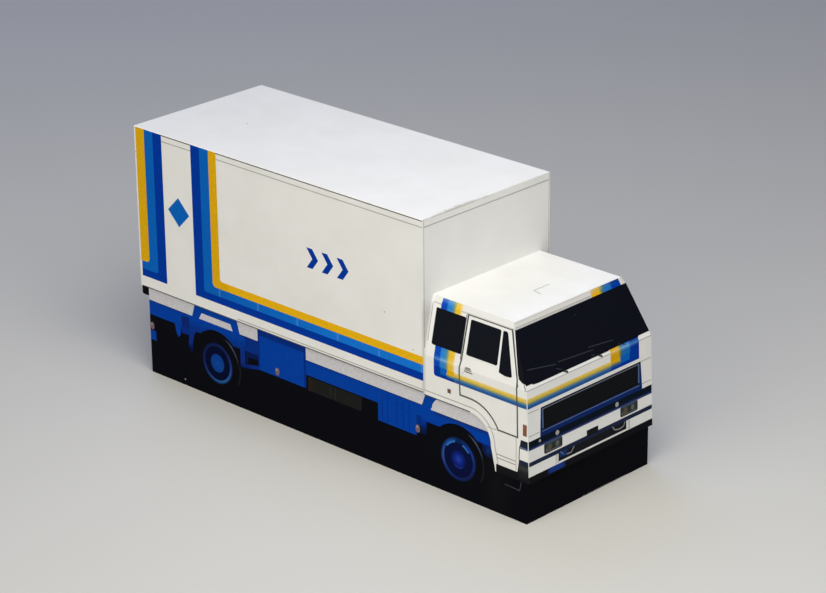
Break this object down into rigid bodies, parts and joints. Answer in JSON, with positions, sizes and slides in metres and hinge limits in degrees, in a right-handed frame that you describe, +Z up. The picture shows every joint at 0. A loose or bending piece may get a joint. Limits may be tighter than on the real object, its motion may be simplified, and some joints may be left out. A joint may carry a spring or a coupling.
{
  "type": "folded card model of a box truck",
  "caption": "Small folded card model of a cab-over box truck, white with yellow and blue stripes; wheels, windows and chassis are printed, and nothing turns.",
  "frame": {"origin": "on the ground, under the middle of the truck's length and width", "axes": "+X towards the truck's front, +Y towards its left, +Z up"},
  "size_m": [0.0752, 0.0252, 0.0378],
  "materials": {
    "card_white": "white uncoated card, folded",
    "ink_black": "printed near-black",
    "ink_navy": "printed navy",
    "ink_beige": "printed pale beige",
    "ink_chassis_blue": "printed strong blue",
    "ink_chassis_shade": "printed deep blue",
    "ink_pale_grey": "printed pale grey line",
    "ink_grille": "printed black with fine bars",
    "ink_grille_frame": "printed grey-blue",
    "ink_headlamp": "printed olive and grey",
    "ink_orange": "printed orange",
    "ink_grey": "printed dark grey line",
    "ink_dark_blue": "printed dark blue",
    "ink_light_blue": "printed light blue",
    "ink_yellow": "printed warm yellow",
    "ink_tank": "printed dark olive",
    "ink_olive": "printed dark olive line",
    "ink_rim_blue": "printed wheel blue",
    "ink_well": "printed blue-black",
    "ink_window": "printed blue-black",
    "card_black": "white card printed black, rolled double"
  },
  "bodies": {
    "root": {"cab_shell": "card_white", "cargo_floor": "card_white", "cargo_front_wall": "card_white", "cargo_rear_wall": "card_white", "cargo_sides_and_roof": "card_white", "chassis_deck": "card_white", "chassis_skirt": "card_white", "printed_bumper_black": "ink_black", "printed_bumper_navy": "ink_navy", "printed_chassis_beige": "ink_beige", "printed_chassis_black": "ink_black", "printed_chassis_blue": "ink_chassis_blue", "printed_chassis_shade": "ink_chassis_shade", "printed_faint_lines": "ink_pale_grey", "printed_grille": "ink_grille", "printed_grille_frame": "ink_grille_frame", "printed_headlamps": "ink_headlamp", "printed_markers": "ink_orange", "printed_panel_lines": "ink_grey", "printed_stripes_dark_blue": "ink_dark_blue", "printed_stripes_light_blue": "ink_light_blue", "printed_stripes_yellow": "ink_yellow", "printed_tank": "ink_tank", "printed_tyre_glints": "ink_olive", "printed_wheel_rims": "ink_rim_blue", "printed_wheel_wells": "ink_well", "printed_windows": "ink_window", "rear_bar": "card_black", "skirt_glue_tabs": "card_white"}
  },
  "joints": []
}
